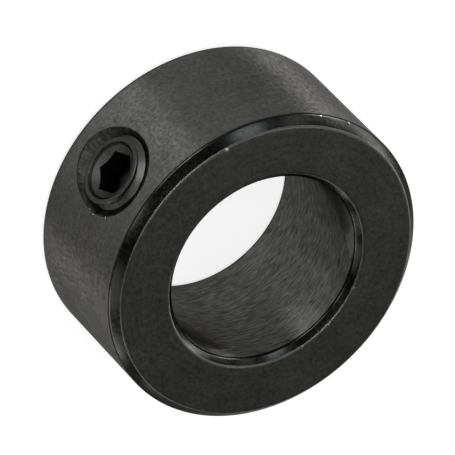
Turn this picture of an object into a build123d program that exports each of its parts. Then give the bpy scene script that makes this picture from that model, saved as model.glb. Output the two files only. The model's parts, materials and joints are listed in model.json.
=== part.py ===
"""A solid shaft collar: a turned steel ring that slides onto a shaft, and the set screw that holds it.

Millimetres. The ring stands on one flat end: Z is the bore's axis, and Z = 0 is that end.
The set screw lies along +X, at half the ring's width. Its fine thread is left plain here:
the screw is a cylinder at the thread's outside diameter, in a hole that clears it.
"""

from build123d import *
from math import radians, tan
import os

# Collar ring
bore_diameter = 15.0
wall_thickness = 5.0  # from the bore to the round outside
collar_width = 12.0
rim_chamfer = 0.7  # on both outer rims
bore_chamfer = 0.5  # on both ends of the bore
corner_radius = 0.3  # the tumbled rounding where each chamfer begins and ends

# Screw hole
thread_diameter = 6.0
thread_clearance = 0.05  # radial, between the screw and the wall of its hole
mouth_diameter = 8.0  # the countersink's longest size, at the crown of the round outside
mouth_angle = 120.0  # the countersink's full cone angle

# Set screw
screw_proud = 0.05  # how far its outer end stands above the crown of the ring
cup_setback = 0.05  # how far its inner end stays short of the bore, so that a shaft slides in
end_chamfer = 0.45  # at 45 degrees, round its outer end
end_ring = 0.4  # width of the flat ring between that chamfer and the socket's countersink
ring_radius = 0.08  # the rounding of both edges of that ring
socket_across_flats = 3.0
socket_depth = 2.5  # down to where the flats end
socket_entry_angle = 110.0  # full cone angle of the socket's countersink
socket_bottom_angle = 120.0  # full cone angle of the bottom, as a punch leaves it
socket_turn = 18.0  # a corner of the hexagon, turned this far from straight up
cup_diameter = 3.0  # the ring that bites into the shaft
cup_angle = 118.0  # full cone angle of the hollow inside the cup
point_angle = 45.0  # between the taper behind the cup and the screw's axis

# Cutting tools run this far past what they cut
overrun = 1.0

# Worked out from the sizes above
bore_radius = bore_diameter / 2
outside_radius = bore_radius + wall_thickness
thread_radius = thread_diameter / 2
hole_radius = thread_radius + thread_clearance
mouth_radius = mouth_diameter / 2
screw_height = collar_width / 2
socket_end = outside_radius + screw_proud
cup_end = bore_radius + cup_setback


def cone_depth(big_radius, small_radius, full_angle):
    """How deep a cone of this full angle goes while it narrows from one radius to the other."""
    return (big_radius - small_radius) / tan(radians(full_angle / 2))


def lay_along_x(shape):
    """Turns a shape made about Z so that Z becomes X, and Y stays Y."""
    return shape.rotate(Axis.Y, 90)


def ring_blank():
    """The turned ring: its section beside the axis, chamfered, rounded and spun."""
    section = Rectangle(wall_thickness, collar_width, align=(Align.MIN, Align.MIN))
    section = Pos(bore_radius, 0) * section
    outer_corners = section.vertices().group_by(Axis.X)[-1]
    section = chamfer(outer_corners, rim_chamfer)
    bore_corners = section.vertices().group_by(Axis.X)[0]
    section = chamfer(bore_corners, bore_chamfer)
    section = fillet(section.vertices(), corner_radius)
    return revolve(Plane.XZ * section, Axis.Z)


def screw_hole_cutter():
    """The drilled hole from the bore outwards, and the countersink at its mouth."""
    drill = Cylinder(hole_radius, outside_radius + overrun, align=(Align.CENTER, Align.CENTER, Align.MIN))
    depth = cone_depth(mouth_radius, hole_radius, mouth_angle)
    flare = overrun * tan(radians(mouth_angle / 2))
    countersink = Cone(
        hole_radius,
        mouth_radius + flare,
        depth + overrun,
        align=(Align.CENTER, Align.CENTER, Align.MIN),
    )
    countersink = Pos(0, 0, outside_radius - depth) * countersink
    return Pos(0, 0, screw_height) * lay_along_x(drill + countersink)


def collar_ring():
    """The ring with its one radial screw hole, from the bore to the round outside."""
    return ring_blank() - screw_hole_cutter()


def screw_blank():
    """The screw's outside, spun about its axis: cup, taper, plain thread, end chamfer, end ring."""
    rim = thread_radius - end_chamfer
    entry = rim - end_ring
    cup = cup_diameter / 2
    hollow = cone_depth(cup, 0, cup_angle)
    taper = cone_depth(thread_radius, cup, 2 * point_angle)
    entry_depth = cone_depth(entry, 0, socket_entry_angle)
    outline = Polyline(
        (0, cup_end + hollow),
        (cup, cup_end),
        (thread_radius, cup_end + taper),
        (thread_radius, socket_end - end_chamfer),
        (rim, socket_end),
        (entry, socket_end),
        (0, socket_end - entry_depth),
        close=True,
    )
    section = make_face(outline)
    ring_corners = section.vertices().group_by(Axis.Y)[-1]
    section = fillet(ring_corners, ring_radius)
    return revolve(Plane.XZ * section, Axis.Z)


def socket_cutter():
    """The hexagon that a key fits, with a cone at its bottom."""
    hexagon = RegularPolygon(socket_across_flats / 2, 6, major_radius=False)
    flats = extrude(hexagon, socket_depth + overrun)
    bottom_depth = cone_depth(socket_across_flats / 2, 0, socket_bottom_angle)
    bottom = Cone(0, socket_across_flats / 2, bottom_depth, align=(Align.CENTER, Align.CENTER, Align.MAX))
    cutter = (flats + bottom).rotate(Axis.Z, socket_turn)
    return Pos(0, 0, socket_end - socket_depth) * cutter


def set_screw():
    """The headless screw, laid in its hole with the socket outwards."""
    screw = screw_blank() - socket_cutter()
    return Pos(0, 0, screw_height) * lay_along_x(screw)


os.makedirs("parts", exist_ok=True)
export_step(collar_ring(), "parts/collar_ring.step")
export_step(set_screw(), "parts/set_screw.step")
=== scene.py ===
"""The looks of a shaft collar: a blackened turned ring and the set screw in its side.

Sizes are in millimetres and are turned into metres where each mesh is made.
The ring's axis is Z. The screw's axis is X, and it points out of its hole along +X.
"""

import json
from math import acos, cos, pi, radians, sin, tan

import bmesh
import bpy
import numpy as np
from mathutils import Matrix, Vector


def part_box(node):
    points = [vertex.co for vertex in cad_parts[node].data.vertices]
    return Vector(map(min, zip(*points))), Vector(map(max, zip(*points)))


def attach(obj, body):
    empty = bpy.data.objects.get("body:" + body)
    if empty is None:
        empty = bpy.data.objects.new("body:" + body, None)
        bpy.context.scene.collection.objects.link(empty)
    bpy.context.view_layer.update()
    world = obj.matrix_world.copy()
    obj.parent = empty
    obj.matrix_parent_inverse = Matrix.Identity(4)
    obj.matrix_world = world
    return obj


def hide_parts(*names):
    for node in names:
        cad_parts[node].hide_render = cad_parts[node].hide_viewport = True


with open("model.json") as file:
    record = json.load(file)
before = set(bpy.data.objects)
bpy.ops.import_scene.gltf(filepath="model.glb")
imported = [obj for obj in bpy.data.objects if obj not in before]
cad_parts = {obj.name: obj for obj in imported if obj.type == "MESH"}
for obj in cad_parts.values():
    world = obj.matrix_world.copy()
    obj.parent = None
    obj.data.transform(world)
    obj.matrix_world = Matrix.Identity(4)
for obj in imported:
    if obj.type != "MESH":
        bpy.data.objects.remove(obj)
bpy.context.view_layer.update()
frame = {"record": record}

MM = 0.001

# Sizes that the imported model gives
ring_low, ring_high = [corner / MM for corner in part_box("collar_ring")]
screw_low, screw_high = [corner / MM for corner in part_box("set_screw")]
mounts = {mount["name"]: mount for mount in frame["record"]["mounts"]}
outside_radius = -ring_low.x
bore_radius = mounts["bore"]["dims"]["r_mm"]
width = ring_high.z
middle = width / 2
screw_radius = screw_high.y
screw_end = screw_high.x
screw_tip = screw_low.x

# Turned section of the ring
rim_chamfer = 0.7
bore_chamfer = 0.5
corner_radius = 0.3
corner_steps = 5

# Screw hole
mouth_radius = 4.0
mouth_angle = radians(120)
mouth_bevel = 0.06

# Thread
pitch = 1.0
flank = tan(radians(60))
screw_crest = screw_radius - 0.04
screw_root = 2.35
screw_root_flat = 0.16
hole_root = screw_radius + 0.02
hole_crest = 2.63  # a little wider than the screw's rim, so that the rim can follow its thread in
hole_crest_flat = 0.4
groove_start = 12.03  # where the screw's groove lies along X, on the side that faces +Y

# Set screw
rim_radius = 2.57
rim_rounding = 0.1
shoulder_radius = 2.79  # where the end chamfer turns steeper, towards the thread
shoulder_slope = tan(radians(29))
lip_radius = 2.28
lip_rounding = 0.06
step_radius = 2.06
step_depth = 0.22
cup_radius = 1.5
cup_angle = radians(118)
socket_flat = 1.5
socket_depth = 2.5
entry_angle = radians(120)
bottom_angle = radians(120)
socket_corner = radians(108)  # a corner of the hexagon, from +Y towards +Z

# Burrs beside the mouth: azimuth and height of one end and of the other, then thickness
burrs = [
    (12.4, 8.1, 13.5, 8.33, 0.04),
    (15.3, 6.75, 15.7, 6.5, 0.05),
    (15.0, 6.12, 15.15, 5.95, 0.04),
]

# Mesh densities
columns = 360
window = radians(30)  # half of the sector that the screw hole's patch fills
window_columns = 60
wall_rows = 40
hole_columns = 2 * (window_columns + wall_rows)
screw_columns = 240
thread_step = 0.05
fine_step = 0.02
plain_depth = 0.65  # rows down to here lie square to the screw, so that its end chamfer stays crisp
weld_distance = 0.0003


def mesh_object(name, points, faces, materials, face_materials):
    """A smooth-shaded mesh from points in millimetres, with its doubled points joined."""
    mesh = bpy.data.meshes.new(name)
    mesh.from_pydata((np.asarray(points) * MM).tolist(), [], faces)
    for material in materials:
        mesh.materials.append(material)
    mesh.polygons.foreach_set("material_index", face_materials)
    build = bmesh.new()
    build.from_mesh(mesh)
    bmesh.ops.remove_doubles(build, verts=build.verts, dist=weld_distance * MM)
    bmesh.ops.recalc_face_normals(build, faces=build.faces)
    build.to_mesh(mesh)
    build.free()
    mesh.shade_smooth()
    mesh.set_sharp_from_angle(angle=radians(38))
    made = bpy.data.objects.new(name, mesh)
    bpy.context.scene.collection.objects.link(made)
    return made


class Shell:
    """Gathers grids of points into the points and faces of one mesh."""

    def __init__(self):
        self.points = []
        self.faces = []
        self.materials = []
        self.count = 0

    def grid(self, rows, material, skip=None):
        """Joins a grid of points, rows x columns x 3, with quads. skip says which quads to leave out."""
        rows = np.asarray(rows, float)
        high, wide = rows.shape[:2]
        number = self.count + np.arange(high * wide).reshape(high, wide)
        quads = np.stack([number[:-1, :-1], number[:-1, 1:], number[1:, 1:], number[1:, :-1]], -1)
        if skip is not None:
            quads = quads[~skip]
        quads = quads.reshape(-1, 4)
        self.points.append(rows.reshape(-1, 3))
        self.faces.extend(quads.tolist())
        self.materials.extend([material] * len(quads))
        self.count += high * wide

    def object(self, name, materials):
        return mesh_object(name, np.concatenate(self.points), self.faces, materials, self.materials)


def rounded_corner(before, corner, after, radius, steps):
    """Points of the arc that rounds a corner between two straight sides."""
    corner = np.array(corner, float)
    one = np.array(before, float) - corner
    two = np.array(after, float) - corner
    one /= np.linalg.norm(one)
    two /= np.linalg.norm(two)
    half = acos(np.clip(one @ two, -1, 1)) / 2
    middle_way = (one + two) / np.linalg.norm(one + two)
    centre = corner + middle_way * radius / sin(half)
    start = corner + one * radius / tan(half) - centre
    end = corner + two * radius / tan(half) - centre
    turn = acos(np.clip(start @ end / radius**2, -1, 1))
    share = np.linspace(0, 1, steps + 1)[:, None]
    return centre + (np.sin((1 - share) * turn) * start + np.sin(share * turn) * end) / sin(turn)


def hole_radius_at(turn, x):
    """Radius of the tapped and countersunk hole, where turn runs from +Y towards +Z."""
    cone = mouth_radius + (x - outside_radius) * tan(mouth_angle / 2)
    phase = (x - groove_start) / pitch - turn / (2 * pi)
    from_ridge = np.abs(phase - np.round(phase)) * pitch
    thread = hole_crest + np.maximum(0, from_ridge - hole_crest_flat / 2) * flank
    return np.maximum(np.minimum(thread, hole_root), cone)


def soft_least(one, two, blend=0.06):
    """The lesser of two lengths, with a rounded change from one to the other."""
    share = np.clip(0.5 + 0.5 * (two - one) / blend, 0, 1)
    return two * (1 - share) + one * share - blend * share * (1 - share)


def screw_radius_at(turn, x):
    """Radius of the screw's outside: thread, end chamfer and the taper behind its cup."""
    phase = (x - groove_start) / pitch - turn / (2 * pi)
    from_groove = np.abs(phase - np.round(phase)) * pitch
    thread = screw_root + np.maximum(0, from_groove - screw_root_flat / 2) * flank
    shoulder_depth = shoulder_radius - rim_radius
    depth = screw_end - x
    shoulder = shoulder_radius + (depth - shoulder_depth) * shoulder_slope
    end_chamfer = np.minimum(rim_radius + depth, shoulder)
    taper = cup_radius + x - screw_tip
    return soft_least(np.minimum(thread, screw_crest), np.minimum(end_chamfer, taper))


def helical_rows(turns, low, high, radius_at):
    """A grid whose rows follow the thread, held between two ends, as points round the X axis."""
    per_pitch = round(pitch / thread_step)
    first = int(min(low) / thread_step) - per_pitch - 1
    last = int(max(high) / thread_step) + 2
    starts = np.arange(first, last)[:, None] * thread_step
    x = starts + (groove_start % thread_step) + pitch * turns[None, :] / (2 * pi)
    x = np.clip(x, low[None, :], high[None, :])
    return around_x(turns[None, :], x, radius_at(turns[None, :], x))


def around_x(turn, x, radius):
    """Points at a radius round the screw's axis."""
    turn, x, radius = np.broadcast_arrays(turn, x, radius)
    return np.stack([x, radius * np.cos(turn), middle + radius * np.sin(turn)], -1)


def around_z(azimuth, radius, z):
    """Points at a radius round the ring's axis."""
    azimuth, radius, z = np.broadcast_arrays(azimuth, radius, z)
    return np.stack([radius * np.cos(azimuth), radius * np.sin(azimuth), z], -1)


def mouth_curve(turns, grow):
    """Where the countersink meets the round outside: its x at each turn, with the cone grown a little."""
    x = np.full_like(turns, outside_radius)
    for step in range(60):
        radius = mouth_radius + grow + (x - outside_radius) * tan(mouth_angle / 2)
        x = 0.5 * x + 0.5 * np.sqrt(outside_radius**2 - (radius * np.cos(turns)) ** 2)
    return x


def bore_curve(turns):
    """Where the tapped hole meets the bore: the first x at each turn that lies in the ring's wall."""
    x = np.linspace(0.85 * bore_radius, bore_radius, 20000)[:, None]
    radius = hole_radius_at(turns[None, :], x)
    inside = x**2 + (radius * np.cos(turns[None, :])) ** 2 >= bore_radius**2
    return x[np.argmax(inside, 0), 0]


def window_border(low, high):
    """The window's border, as azimuths and heights, from its lower +Y corner up and round."""
    side = np.linspace(low, high, wall_rows + 1)
    across = np.linspace(window, -window, window_columns + 1)
    azimuth = [np.full(wall_rows, window), across[:-1], np.full(wall_rows, -window), across[::-1][:-1]]
    z = [side[:-1], np.full(window_columns, high), side[::-1][:-1], np.full(window_columns, low)]
    return np.concatenate(azimuth), np.concatenate(z)


def close(values):
    """Repeats the first entry at the end, so that a round closes."""
    return np.concatenate([values, values[:1]])


def window_patch(shell, radius, low, high, hole, material):
    """Fills the window of a cylinder round the screw hole's edge."""
    border_azimuth, border_z = window_border(low, high)
    hole_azimuth = np.arctan2(hole[:, 1], hole[:, 0])
    share = np.linspace(0, 1, 15)[:, None] ** 1.4
    azimuth = close_columns(hole_azimuth[None] * (1 - share) + border_azimuth[None] * share)
    z = close_columns(hole[None, :, 2] * (1 - share) + border_z[None] * share)
    shell.grid(around_z(azimuth, radius, z), material)


def close_columns(grid):
    """Repeats a grid's first column at its end."""
    return np.concatenate([grid, grid[:, :1]], 1)


OUTSIDE, CHAMFER, FACE, BORE, HOLE = range(5)


def ring_section():
    """The ring's section as stretches of points, each with its material, once round from the outside."""
    outer, inner = outside_radius, bore_radius
    corners = [
        (outer, width - rim_chamfer),
        (outer - rim_chamfer, width),
        (inner + bore_chamfer, width),
        (inner, width - bore_chamfer),
        (inner, bore_chamfer),
        (inner + bore_chamfer, 0),
        (outer - rim_chamfer, 0),
        (outer, rim_chamfer),
    ]
    sides = [CHAMFER, FACE, CHAMFER, BORE, CHAMFER, FACE, CHAMFER, OUTSIDE]
    arcs = []
    for number, corner in enumerate(corners):
        before = corners[number - 1]
        after = corners[(number + 1) % len(corners)]
        arcs.append(rounded_corner(before, corner, after, corner_radius, corner_steps))
    stretches = []
    for number, side in enumerate(sides):
        arc = arcs[number]
        start, end = arc[-1], arcs[(number + 1) % len(arcs)][0]
        if side in (BORE, OUTSIDE):
            share = np.linspace(0, 1, wall_rows + 1)
        elif side == FACE:
            share = np.array([0, 0.02, 0.06, 0.2, 0.4, 0.6, 0.8, 0.94, 0.98, 1])
        else:
            share = np.linspace(0, 1, 3)
        beside_face = FACE in (sides[number - 1], side)
        stretches.append((FACE if beside_face else CHAMFER, arc))
        stretches.append((side, start + (end - start) * share[:, None]))
    return stretches


def collar_ring(materials):
    """The ring: its turned section, the countersink, and the thread in its hole."""
    shell = Shell()
    azimuths = np.linspace(window - 2 * pi, window, columns + 1)
    in_window = azimuths[:-1] > -window - 1e-9
    for material, stretch in ring_section():
        rows = around_z(azimuths[None, :], stretch[:, :1], stretch[:, 1:])
        skip = None
        if material in (BORE, OUTSIDE):
            skip = np.broadcast_to(in_window, (len(stretch) - 1, columns))
        shell.grid(rows, material, skip)
    flat_outer = corner_radius * tan(pi / 8) + rim_chamfer
    flat_inner = corner_radius * tan(pi / 8) + bore_chamfer
    side_turn = 2 * pi * wall_rows / hole_columns
    turns = -side_turn / 2 + 2 * pi * np.arange(hole_columns) / hole_columns

    top = mouth_curve(turns, mouth_bevel)
    edge_radius = mouth_radius + mouth_bevel + (top - outside_radius) * tan(mouth_angle / 2)
    edge = around_x(turns, top, edge_radius)
    window_patch(shell, outside_radius, flat_outer, width - flat_outer, edge, OUTSIDE)

    high = mouth_curve(turns, 0) - mouth_bevel / 2
    lip = around_x(turns, high, hole_radius_at(turns, high))
    shell.grid(close_columns(np.stack([edge, lip])), HOLE)

    low = bore_curve(turns)
    inner_edge = around_x(turns, low, hole_radius_at(turns, low))
    window_patch(shell, bore_radius, flat_inner, width - flat_inner, inner_edge, BORE)

    round_turns = np.append(turns, turns[0] + 2 * pi)
    shell.grid(helical_rows(round_turns, close(low), close(high), hole_radius_at), HOLE)
    return shell.object("collar_ring_turned", materials)


def mouth_burrs(material):
    """Torn slivers that the drill left beside the countersink's mouth."""
    shell = Shell()
    around = np.linspace(0, 2 * pi, 13)[None, :]
    for azimuth, height, azimuth_end, height_end, thickness in burrs:
        ends = np.radians([azimuth, azimuth_end])
        start, end = around_z(ends, outside_radius - 0.2 * thickness, np.array([height, height_end]))
        length = end - start
        out = np.array([cos(ends[0]), sin(ends[0]), 0])
        beside = np.cross(length / np.linalg.norm(length), out)
        share = np.linspace(0, 1, 9)[:, None]
        fat = thickness * np.sin(pi * share) ** 0.6
        line = start + share[..., None] * length
        outwards = (fat * np.cos(around))[..., None] * out
        sideways = (fat * np.sin(around))[..., None] * beside
        shell.grid(line + outwards + sideways, 0)
    return shell.object("mouth_burrs", [material])


def hexagon_radius(turn):
    """Distance from the socket's axis to its wall."""
    sixth = pi / 3
    from_flat = (turn - socket_corner) % sixth - sixth / 2
    return socket_flat / np.cos(from_flat)


THREAD, END, ENTRY, SOCKET = range(4)


def set_screw(materials):
    """The set screw: thread, end chamfer, rim, hexagon socket and cup point."""
    shell = Shell()
    turns = 2 * pi * np.arange(screw_columns + 1) / screw_columns
    chamfer_foot = (screw_end - 1, rim_radius + 1)
    rim_corner = (screw_end, rim_radius)
    lip_corner = (screw_end, lip_radius)
    step_foot = (screw_end - step_depth, step_radius)
    rim = rounded_corner(chamfer_foot, rim_corner, lip_corner, rim_rounding, corner_steps)
    lip = rounded_corner(rim_corner, lip_corner, step_foot, lip_rounding, corner_steps)
    shoulder_x = screw_end - (shoulder_radius - rim_radius)
    thread_end = np.full_like(turns, screw_end - plain_depth)
    low = np.full_like(turns, screw_tip)
    shell.grid(helical_rows(turns, low, thread_end, screw_radius_at), THREAD)
    steps = round((shoulder_x - thread_end[0]) / fine_step)
    x = np.linspace(thread_end[0], shoulder_x, steps + 1)[:, None]
    shell.grid(around_x(turns[None, :], x, screw_radius_at(turns[None, :], x)), THREAD)
    x = np.linspace(shoulder_x, rim[0][0], 17)[:, None]
    radius = screw_radius_at(turns[None, :], x)
    radius[-1] = rim[0][1]
    shell.grid(around_x(turns[None, :], x, radius), END)
    shell.grid(around_x(turns[None, :], rim[:, :1], rim[:, 1:]), THREAD)
    profile = np.concatenate([rim[-1:], lip])
    shell.grid(around_x(turns[None, :], profile[:, :1], profile[:, 1:]), THREAD)
    profile = np.concatenate([lip[-1:], [step_foot]])
    shell.grid(around_x(turns[None, :], profile[:, :1], profile[:, 1:]), SOCKET)

    wall = hexagon_radius(turns)[None, :]
    share = np.linspace(0, 1, 8)[:, None]
    radius = step_radius + (wall - step_radius) * share
    x = screw_end - step_depth - (step_radius - radius) / tan(entry_angle / 2)
    shell.grid(around_x(turns[None, :], x, radius), ENTRY)

    floor_x = screw_end - socket_depth
    share = np.linspace(0, 1, 7)[:, None]
    shell.grid(around_x(turns[None, :], x[-1:] + (floor_x - x[-1:]) * share, wall), SOCKET)
    flat_radius = socket_flat - 0.02
    shell.grid(around_x(turns[None, :], floor_x, wall + (flat_radius - wall) * np.array([[0], [1]])), SOCKET)
    cone = np.linspace(flat_radius, 0, 5)[:, None]
    deep = floor_x - (flat_radius - cone) / tan(bottom_angle / 2)
    shell.grid(around_x(turns[None, :], deep, cone), SOCKET)

    hollow = np.linspace(cup_radius, 0, 8)[:, None]
    hollow_x = screw_tip + (cup_radius - hollow) / tan(cup_angle / 2)
    shell.grid(around_x(turns[None, :], hollow_x, hollow), THREAD)
    return shell.object("set_screw_threaded", materials)


def node(tree, kind, inputs=(), **settings):
    """Adds a shader node. Each input is a value, or the socket that feeds it."""
    made = tree.nodes.new("ShaderNode" + kind)
    for key, value in settings.items():
        setattr(made, key, value)
    for key, value in dict(inputs).items():
        if isinstance(value, bpy.types.NodeSocket):
            tree.links.new(value, made.inputs[key])
        else:
            made.inputs[key].default_value = value
    return made


def blend_range(tree, value, low, high, floor=0.0, ceiling=1.0):
    """Maps a noise value from floor..ceiling to low..high."""
    ranges = {"Value": value, "From Min": floor, "From Max": ceiling, "To Min": low, "To Max": high}
    return node(tree, "MapRange", ranges).outputs["Result"]


def math(tree, operation, first, second=0.0):
    """One sum on two numbers or sockets."""
    return node(tree, "Math", {0: first, 1: second}, operation=operation).outputs[0]


def turned_place(tree, across, round_scale, across_scale):
    """Object coordinates drawn out round the ring's axis, so that noise turns into tool marks.

    across is the way the marks lie side by side: "Z" on a cylinder and "RADIUS" on a face.
    "ROUND_X" gives marks that lie side by side round the screw hole, as a chattering countersink leaves.
    """
    place = node(tree, "TexCoord").outputs["Object"]
    if across == "ROUND_X":
        place = node(tree, "VectorMath", {0: place, 1: (0, 0, middle * MM)}, operation="SUBTRACT").outputs[0]
        place = node(tree, "VectorMath", {0: place, 1: (0, 1, 1)}, operation="MULTIPLY").outputs[0]
        place = node(tree, "VectorMath", {0: place}, operation="NORMALIZE").outputs[0]
        return node(tree, "VectorMath", {0: place, 3: chatter}, operation="SCALE").outputs[0]
    parts = node(tree, "SeparateXYZ", {0: place})
    if across == "Z":
        step = parts.outputs["Z"]
    else:
        flat = node(tree, "CombineXYZ", {0: parts.outputs["X"], 1: parts.outputs["Y"]}).outputs[0]
        step = node(tree, "VectorMath", {0: flat}, operation="LENGTH").outputs["Value"]
    x = math(tree, "MULTIPLY", parts.outputs["X"], round_scale)
    y = math(tree, "MULTIPLY", parts.outputs["Y"], round_scale)
    z = math(tree, "MULTIPLY", step, across_scale)
    return node(tree, "CombineXYZ", {0: x, 1: y, 2: z}).outputs[0]


def noise(tree, place, scale, detail=3.0, distortion=0.0):
    """Fractal noise, about 0.5 on average."""
    settings = {"Vector": place, "Scale": scale, "Detail": detail, "Distortion": distortion}
    return node(tree, "TexNoise", settings).outputs["Fac"]


def around_one(tree, pattern, strength):
    """A factor that follows a noise up and down round 1."""
    return blend_range(tree, pattern, 1 - strength, 1 + strength, *noise_span)


def marks(tree, places):
    """From 0 outside to 1 inside small ragged marks.

    A place is azimuth, radius, height and size in mm, then how bare the metal is there.
    """
    here = node(tree, "TexCoord").outputs["Object"]
    warp = node(tree, "TexNoise", {"Vector": here, "Scale": 9000.0, "Detail": 2.0}).outputs["Color"]
    warp = node(tree, "VectorMath", {0: warp, 1: (0.5, 0.5, 0.5)}, operation="SUBTRACT").outputs[0]
    warp = node(tree, "VectorMath", {0: warp, 3: 0.35 * MM}, operation="SCALE").outputs[0]
    here = node(tree, "VectorMath", {0: here, 1: warp}, operation="ADD").outputs[0]
    total = 0.0
    for azimuth, radius, height, size, bare in places:
        centre = Vector((radius * cos(radians(azimuth)), radius * sin(radians(azimuth)), height)) * MM
        away = node(tree, "VectorMath", {0: here, 1: centre}, operation="DISTANCE").outputs["Value"]
        inside = blend_range(tree, away, bare, 0.0, 0.5 * size * MM, 1.2 * size * MM)
        total = math(tree, "MAXIMUM", total, inside)
    return total


def black_oxide(name, look, nicks=()):
    """Blackened steel with clouds, grain, tool marks and a few nicks down to bright metal."""
    material = bpy.data.materials.new(name)
    material.use_nodes = True
    tree = material.node_tree
    shader = tree.nodes["Principled BSDF"]
    shader.inputs["Metallic"].default_value = 1
    shader.inputs["Specular Tint"].default_value = (look["edge"], look["edge"], look["edge"], 1)
    here = node(tree, "TexCoord").outputs["Object"]

    clouds = noise(tree, here, look["cloud_scale"])
    grain = noise(tree, here, look["grain_scale"], 4.0)
    turned = turned_place(tree, look["across"], look["line_round"], look["line_scale"])
    lines = noise(tree, turned, 1.0, 2.5, look["line_waver"])

    shade = around_one(tree, clouds, look["clouds"])
    shade = math(tree, "MULTIPLY", shade, around_one(tree, grain, look["grain"]))
    shade = math(tree, "MULTIPLY", shade, around_one(tree, lines, look["lines"]))
    colour = node(tree, "VectorMath", {0: look["tone"], 3: shade}, operation="SCALE").outputs[0]
    rough = blend_range(tree, grain, look["rough"] - rough_play, look["rough"] + rough_play, *noise_span)
    if nicks:
        bare = marks(tree, nicks)
        colour = node(tree, "Mix", {0: bare, 6: colour, 7: (*bare_steel, 1)}, data_type="RGBA").outputs[2]
        rough = math(tree, "ADD", rough, math(tree, "MULTIPLY", bare, 0.15))
    tree.links.new(colour, shader.inputs["Base Color"])
    tree.links.new(rough, shader.inputs["Roughness"])

    height = math(tree, "MULTIPLY", lines, look["line_depth"])
    height = math(tree, "ADD", height, math(tree, "MULTIPLY", grain, look["grain_depth"]))
    bump = node(tree, "Bump", {"Height": height, "Strength": 1.0, "Distance": 1.0 * MM})
    tree.links.new(bump.outputs["Normal"], shader.inputs["Normal"])
    if look["lengthwise"]:
        shader.inputs["Anisotropic"].default_value = look["lengthwise"]
        shader.inputs["Anisotropic Rotation"].default_value = 0.25
        round_axis = node(tree, "Tangent", direction_type="RADIAL", axis="Z")
        tree.links.new(round_axis.outputs["Tangent"], shader.inputs["Tangent"])
    return material


bare_steel = (0.55, 0.54, 0.52)
chatter = 14.0  # marks of the countersink in each radian
noise_span = (0.3, 0.7)  # most of a fractal noise lies between these
rough_play = 0.05


def oxide_look(tone, rough, red=1.0, blue=0.93, **changes):
    """The numbers of one blackened surface. Scales are per metre, and depths are in millimetres."""
    look = {
        "tone": (tone * red, tone, tone * blue),
        "rough": rough,
        "edge": 0.4,
        "clouds": 0.1,
        "cloud_scale": 260.0,
        "grain": 0.12,
        "grain_scale": 3800.0,
        "grain_depth": 0.0015,
        "across": "Z",
        "lines": 0.08,
        "line_round": 60.0,
        "line_scale": 5000.0,
        "line_depth": 0.001,
        "line_waver": 0.0,
        "lengthwise": 0,
    }
    look.update(changes)
    return look


def area_lamp(name, azimuth, elevation, size, power, colour=(1, 1, 1)):
    """A soft lamp that faces the ring. Its size is its breadth and height, in metres."""
    data = bpy.data.lights.new(name, "AREA")
    data.shape = "RECTANGLE"
    data.size, data.size_y = size
    data.energy = power
    data.color = colour
    lamp = bpy.data.objects.new(name, data)
    bpy.context.scene.collection.objects.link(lamp)
    direction = Vector((cos(elevation) * cos(azimuth), cos(elevation) * sin(azimuth), sin(elevation)))
    lamp.location = ring_centre + direction * lamp_distance
    lamp.rotation_euler = direction.to_track_quat("Z", "Y").to_euler()
    return lamp


def camera_at(azimuth, elevation, roll, distance, lens, slide):
    """A long-lens camera, turned about its own line of sight by roll and slid a little across it."""
    out = Vector((cos(elevation) * cos(azimuth), cos(elevation) * sin(azimuth), sin(elevation)))
    level = Vector((-sin(azimuth), cos(azimuth), 0))
    upright = out.cross(level)
    right = level * cos(roll) + upright * sin(roll)
    up = out.cross(right)
    data = bpy.data.cameras.new("photo_camera")
    data.sensor_width = 36
    data.lens = lens
    camera = bpy.data.objects.new("photo_camera", data)
    bpy.context.scene.collection.objects.link(camera)
    place = ring_centre + out * distance + right * slide[0] + up * slide[1]
    axes = Matrix((right, up, out)).transposed().to_4x4()
    camera.matrix_world = Matrix.Translation(place) @ axes
    bpy.context.scene.camera = camera


def seen_rays(tree):
    """1 where the eye or something clear looks, less in a reflection, and 0 for light that bounces."""
    path = node(tree, "LightPath")
    mirrored = math(tree, "MULTIPLY", path.outputs["Is Glossy Ray"], mirror_share)
    seen = math(tree, "MAXIMUM", path.outputs["Is Camera Ray"], mirrored)
    return math(tree, "MAXIMUM", seen, path.outputs["Is Transmission Ray"])


def studio_floor():
    """A plain pale floor that stays white to the eye and keeps a light shadow."""
    half = 2.0
    mesh = bpy.data.meshes.new("studio_floor")
    corners = [(-half, -half, 0), (half, -half, 0), (half, half, 0), (-half, half, 0)]
    mesh.from_pydata(corners, [], [(0, 1, 2, 3)])
    floor = bpy.data.objects.new("studio_floor", mesh)
    bpy.context.scene.collection.objects.link(floor)
    material = bpy.data.materials.new("floor_white")
    material.use_nodes = True
    tree = material.node_tree
    shader = tree.nodes["Principled BSDF"]
    shader.inputs["Base Color"].default_value = (floor_tone, floor_tone, floor_tone, 1)
    shader.inputs["Roughness"].default_value = 0.9
    shader.inputs["Specular IOR Level"].default_value = 0
    shader.inputs["Emission Color"].default_value = (1, 1, 1, 1)
    seen = seen_rays(tree)
    tree.links.new(math(tree, "MULTIPLY", seen, floor_glow), shader.inputs["Emission Strength"])
    mesh.materials.append(material)


def studio_world(tree):
    """White to the eye all round. A reflection finds it pale low down and dark above."""
    path = node(tree, "LightPath")
    up = node(tree, "SeparateXYZ", {0: node(tree, "TexCoord").outputs["Generated"]}).outputs["Z"]
    low_down = blend_range(tree, up, low_sky, 0.0, *sky_fade)
    mirrored = math(tree, "MULTIPLY", path.outputs["Is Glossy Ray"], low_down)
    seen = math(tree, "MAXIMUM", path.outputs["Is Camera Ray"], mirrored)
    strength = math(tree, "MAXIMUM", seen, sky_light)
    background = tree.nodes["Background"]
    background.inputs["Color"].default_value = (1, 1, 1, 1)
    tree.links.new(strength, background.inputs["Strength"])


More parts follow.
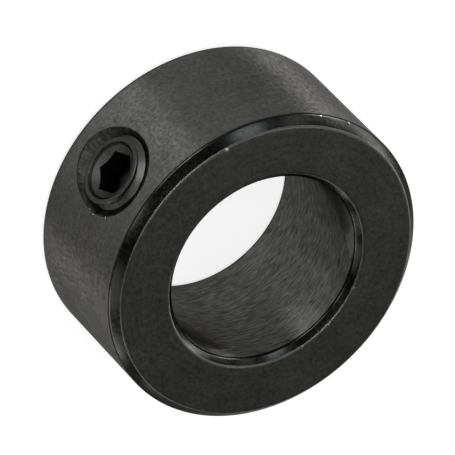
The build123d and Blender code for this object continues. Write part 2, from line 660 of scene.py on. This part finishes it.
ring_centre = Vector((0, 0, middle)) * MM
floor_tone = 0.35
floor_glow = 0.76  # with the lamps' light it makes the floor just white to the eye
mirror_share = 0.58  # of the floor's glow, in the metal
low_sky = 0.25  # the world in a reflection, level with the ring
sky_fade = (0.02, 0.25)  # height of the looking direction over which it darkens
sky_light = 0.01  # the world's own light on the ring
lamp_distance = 0.4

bpy.context.scene.view_settings.view_transform = "Standard"
camera_at(radians(-14.04), radians(48.572), radians(135.893), 0.59854, 648.9, (-0.0000944, 0.0002969))
studio_floor()

world = bpy.data.worlds.new("studio_world")
bpy.context.scene.world = world
world.use_nodes = True
studio_world(world.node_tree)

low_strip = (0.13, 0.06)
soft_box = (0.08, 0.12)
high_strip = (0.06, 0.1)
white = (1, 1, 1)
cool = (0.96, 0.98, 1)
cold = (0.85, 0.93, 1)

# Azimuth, elevation, breadth and height in metres, power, colour
lamps = {
    "low_170": (-170, 6, low_strip, 0.32, white),
    "low_150": (-150, 6, low_strip, 0.46, white),
    "low_130": (-133, 6, low_strip, 0.27, white),
    "low_110": (-110, 6, low_strip, 1.0, white),
    "low_70": (70, 6, low_strip, 0.52, white),
    "low_90": (90, 6, low_strip, 0.3, white),
    "low_125": (125, 6, low_strip, 0.26, white),
    "box_94": (-94, 24, soft_box, 0.07, white),
    "box_26": (-27, 13, (0.1, 0.12), 0.6, cool),
    "box_10": (-10, 13, soft_box, 0.3, cool),
    "box_20": (18, 24, soft_box, 0.25, white),
    "box_62": (62, 24, (0.16, 0.12), 0.14, white),
    "box_95": (95, 24, soft_box, 0.09, white),
    "high_140": (-140, 60, high_strip, 0.32, white),
    "high_8": (-8, 62, high_strip, 0.62, white),
    "glint": (-66, 34, (0.1, 0.08), 0.22, cold),
    "far": (180, 55, (0.25, 0.25), 0.03, white),
}
for name, (azimuth, elevation, size, power, colour) in lamps.items():
    area_lamp(name, radians(azimuth), radians(elevation), size, power, colour)

outer_nicks = [
    (-16.1, 11.7, 11.98, 0.06, 0.5),
    (-9.0, 11.72, 11.97, 0.05, 0.35),
    (-6.4, 11.75, 11.96, 0.06, 0.4),
    (-33.9, 11.72, 11.98, 0.12, 0.8),
    (-72.2, 12.45, 11.35, 0.06, 0.6),
    (-84.2, 12.45, 11.35, 0.06, 0.5),
    (51.6, 11.77, 11.98, 0.05, 0.5),
    (52.9, 11.77, 11.98, 0.05, 0.4),
    (54.1, 11.77, 11.98, 0.05, 0.35),
]
inner_nicks = [
    (169.4, 8.05, 12.0, 0.07, 0.5),
    (152.0, 8.03, 12.0, 0.06, 0.5),
    (-166.6, 8.06, 12.0, 0.08, 0.6),
    (106.7, 8.06, 12.0, 0.06, 0.4),
    (-83.9, 8.06, 12.0, 0.06, 0.4),
]
wall_specks = [(129.0, 7.5, 2.05, 0.07, 0.5), (125.9, 7.5, 2.74, 0.05, 0.4)]
side_specks = [(21.4, 12.5, 5.87, 0.06, 0.5), (-38, 12.5, 7.2, 0.05, 0.3)]

# One blackened finish on every surface, with each surface's tone set to how bright it looks rather than kept
# alike, so the differences are painted light and shade: the bore's lighter tone is painted light, and the
# chamfers' and the hole's darker tones are painted shade.
ring_materials = [
    black_oxide(
        "oxide_outside",
        oxide_look(0.091, 0.35, red=1.015, blue=0.965, lengthwise=0.92, grain=0.27, clouds=0.14),
        side_specks,
    ),
    # the chamfers' tone is lowered well under the face's, as painted shade
    black_oxide(
        "oxide_chamfer",
        oxide_look(
            0.019,
            0.23,
            across="RADIUS",
            lines=0.08,
            line_depth=0.0002,
            line_scale=9000.0,
            line_round=40.0,
            edge=0.5,
            grain=0.08,
            grain_depth=0.0,
        ),
        outer_nicks + inner_nicks,
    ),
    black_oxide(
        "oxide_face",
        oxide_look(0.078, 0.45, blue=0.91, across="RADIUS", grain=0.15, clouds=0.11),
        outer_nicks + inner_nicks,
    ),
    # the bore's tone is raised above the outside's, as painted light
    black_oxide(
        "oxide_bore",
        oxide_look(
            0.132,
            0.35,
            red=1.01,
            lengthwise=0.92,
            lines=0.6,
            line_round=1300.0,
            line_scale=11000.0,
            line_depth=0.012,
        ),
        wall_specks,
    ),
    # the hole's dark tone is partly the countersink's chatter and partly painted shade in the recess
    black_oxide(
        "oxide_hole",
        oxide_look(
            0.024,
            0.45,
            across="ROUND_X",
            grain=0.5,
            lines=0.3,
            line_depth=0.015,
            line_waver=1.0,
            clouds=0.45,
            cloud_scale=700.0,
        ),
    ),
]
screw_materials = [
    black_oxide("oxide_screw", oxide_look(0.055, 0.34, grain_depth=0.0, line_depth=0.0)),
    # the end chamfer's tone is lowered under the thread's, as painted shade of the gap round the rim
    black_oxide("oxide_screw_end", oxide_look(0.018, 0.34, grain_depth=0.0, line_depth=0.0)),
    black_oxide("oxide_entry", oxide_look(0.045, 0.5)),
    # the socket's near-black tone is painted shade of its deep hollow
    black_oxide("oxide_socket", oxide_look(0.012, 0.5)),
]

ring = collar_ring(ring_materials)
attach(ring, "collar")
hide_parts("collar_ring")

torn = mouth_burrs(black_oxide("oxide_burr", oxide_look(0.2, 0.4)))
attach(torn, "collar")

screw = set_screw(screw_materials)
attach(screw, "screw")
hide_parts("set_screw")
